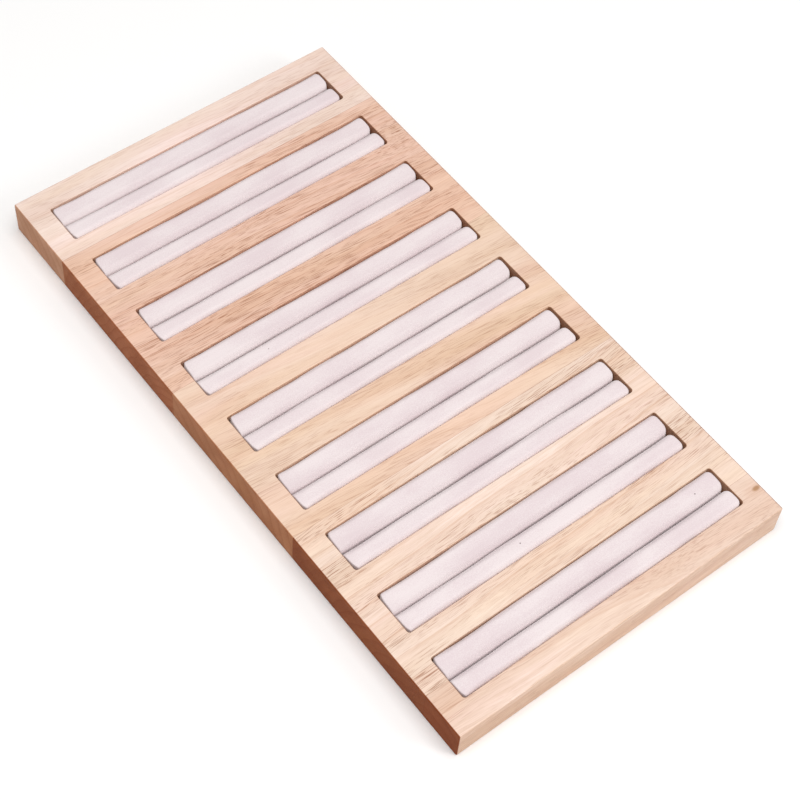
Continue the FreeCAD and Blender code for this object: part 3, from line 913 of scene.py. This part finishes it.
class TRAY_OT_make_covers(bpy.types.Operator):
    """Makes the cloth covers of the rolls"""

    bl_idname = "tray.make_covers"
    bl_label = "Make Covers"

    def execute(self, context):
        settings = context.scene.tray_rolls
        tree = roll_tree()
        cloth = microfibre(settings)
        for number, (roll, short, skew) in enumerate(roll_cuts(settings)):
            node = f"{roll}_cover"
            low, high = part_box(node)
            size = high - low
            # The rolls were pushed up to the left ends of their pockets.
            shift = (short + settings.squeeze) / 2
            centre = (low + high) / 2 - Vector((shift, 0, settings.slack / 2))
            cover = grow(
                f"{node}_cloth",
                tree,
                {
                    "Length": size.x - short + settings.squeeze - skew,
                    "Width": size.y - 2 * settings.unevenness,
                    "Height": size.z - settings.slack,
                    "Wall Shoulder": settings.wall_shoulder,
                    "Crevice Shoulder": settings.crevice_shoulder,
                    "Foot Round": settings.foot_round,
                    "Crest": size.y / 2 - settings.crest_offset,
                    "Crown Radius": settings.crown_radius,
                    "End Round": settings.end_round,
                    "Unevenness": settings.unevenness,
                    "Crevice Shade": BACK_CREVICE_SHADE if is_back(roll) else FRONT_CREVICE_SHADE,
                    "Seed": float(number),
                    "Centre": tuple(centre),
                    "Material": cloth,
                    **shared_sizes(roll, skew, settings),
                    **COVER_MESH,
                },
            )
            blow_up(cover, low, high, settings)
            refine(cover)
            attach(cover, f"ring_{roll}")
            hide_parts(node)
        return {"FINISHED"}


class TRAY_OT_make_cores(bpy.types.Operator):
    """Makes the foam strips inside the covers"""

    bl_idname = "tray.make_cores"
    bl_label = "Make Cores"

    def execute(self, context):
        settings = context.scene.tray_rolls
        tree = roll_tree()
        foam = cut_foam(settings)
        for roll, short, skew in roll_cuts(settings):
            node = f"{roll}_core"
            low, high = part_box(node)
            size = high - low
            core = grow(
                f"{node}_foam",
                tree,
                {
                    "Length": size.x - short - skew,
                    "Width": size.y - 2 * settings.unevenness,
                    "Height": size.z - settings.slack - settings.unevenness,
                    "Wall Shoulder": settings.wall_shoulder - settings.cover_thickness,
                    "Crevice Shoulder": settings.crevice_shoulder - settings.cover_thickness,
                    "Crest": size.y / 2 - settings.crest_offset + settings.cover_thickness,
                    "Crown Radius": settings.crown_radius - settings.cover_thickness,
                    "Unevenness": 0.0,
                    "Crevice Shade": 0.0,
                    "Seed": 0.0,
                    "Centre": tuple((low + high) / 2 - Vector((short / 2, 0, settings.slack / 2))),
                    "Material": foam,
                    **shared_sizes(roll, skew, settings),
                    **CORE_EDGES,
                    **CORE_MESH,
                },
            )
            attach(core, f"ring_{roll}")
            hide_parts(node)
        return {"FINISHED"}


def round_the_tray(turn, height):
    """The way out from the tray, counterclockwise from its near end and at a height over the floor."""
    across = math.cos(height)
    return Vector((math.sin(turn) * across, -math.cos(turn) * across, math.sin(height)))


class TRAY_OT_set_stage(bpy.types.Operator):
    """Sets a pale floor, soft light and the camera"""

    bl_idname = "tray.set_stage"
    bl_label = "Set Stage"

    def execute(self, context):
        settings = context.scene.tray_stage
        self.lay_floor(context, settings)
        self.hang_lights(context, settings)
        self.place_camera(context, settings)
        context.scene.view_settings.view_transform = "Standard"
        return {"FINISHED"}

    def lay_floor(self, context, settings):
        reach = 12.0
        sink = 0.2 * MM
        mesh = bpy.data.meshes.new("floor")
        corners = [(x * reach, y * reach, -sink) for x, y in ((-1, -1), (1, -1), (1, 1), (-1, 1))]
        mesh.from_pydata(corners, [], [(0, 1, 2, 3)])
        mesh.materials.append(matte_paper(settings))
        floor = bpy.data.objects.new("floor", mesh)
        context.scene.collection.objects.link(floor)

    def hang_lights(self, context, settings):
        key_way = round_the_tray(settings.key_turn, settings.key_height)
        # Each soft box with its place and width in metres and its power.
        boxes = (
            ("overhead", Vector((-0.15, -0.2, 1.4)), 1.5, settings.top_power),
            ("key", key_way * 2.0, 0.8, settings.key_power),
        )
        for name, spot, across, power in boxes:
            light = bpy.data.lights.new(name, "AREA")
            light.shape = "DISK"
            light.size = across
            light.energy = power
            lamp = bpy.data.objects.new(name, light)
            lamp.location = spot
            lamp.rotation_euler = (-spot).to_track_quat("-Z", "Y").to_euler()
            context.scene.collection.objects.link(lamp)

        world = bpy.data.worlds.new("studio")
        world.use_nodes = True
        sky = world.node_tree.nodes["Background"]
        sky.inputs["Color"].default_value = (1.0, 1.0, 1.0, 1.0)
        sky.inputs["Strength"].default_value = settings.sky
        context.scene.world = world

    def place_camera(self, context, settings):
        back = round_the_tray(settings.azimuth, settings.elevation)
        camera = bpy.data.objects.new("camera", bpy.data.cameras.new("camera"))
        camera.data.lens = settings.lens
        camera.data.sensor_width = 36.0
        aim = (-back).to_track_quat("-Z", "Y").to_matrix()
        tilt = Matrix.Rotation(settings.roll, 3, "Z")
        camera.matrix_world = Matrix.LocRotScale(
            Vector(settings.aim) + back * settings.distance, (aim @ tilt).to_quaternion(), None
        )
        context.scene.collection.objects.link(camera)
        context.scene.camera = camera


class TRAY_PT_dresser(bpy.types.Panel):
    """Lists the steps that dress the tray"""

    bl_idname = "TRAY_PT_dresser"
    bl_label = "Jewelry Tray"
    bl_space_type = "VIEW_3D"
    bl_region_type = "UI"
    bl_category = "Tray"

    def draw(self, context):
        for settings in (context.scene.tray_wood, context.scene.tray_rolls, context.scene.tray_stage):
            box = self.layout.box()
            for name in settings.__annotations__:
                box.prop(settings, name)
        for operator in STEPS:
            self.layout.operator(operator.bl_idname)


STEPS = (TRAY_OT_dress_staves, TRAY_OT_make_covers, TRAY_OT_make_cores, TRAY_OT_set_stage)
SETTINGS = {"tray_wood": TrayWoodSettings, "tray_rolls": TrayRollSettings, "tray_stage": TrayStageSettings}
CLASSES = (*SETTINGS.values(), *STEPS, TRAY_PT_dresser)


def register():
    for made in CLASSES:
        bpy.utils.register_class(made)
    for name, group in SETTINGS.items():
        setattr(bpy.types.Scene, name, PointerProperty(type=group))


def unregister():
    for name in SETTINGS:
        delattr(bpy.types.Scene, name)
    for made in reversed(CLASSES):
        bpy.utils.unregister_class(made)


def main():
    register()
    bpy.ops.tray.dress_staves()
    bpy.ops.tray.make_covers()
    bpy.ops.tray.make_cores()
    bpy.ops.tray.set_stage()


if __name__ == "__main__":
    main()
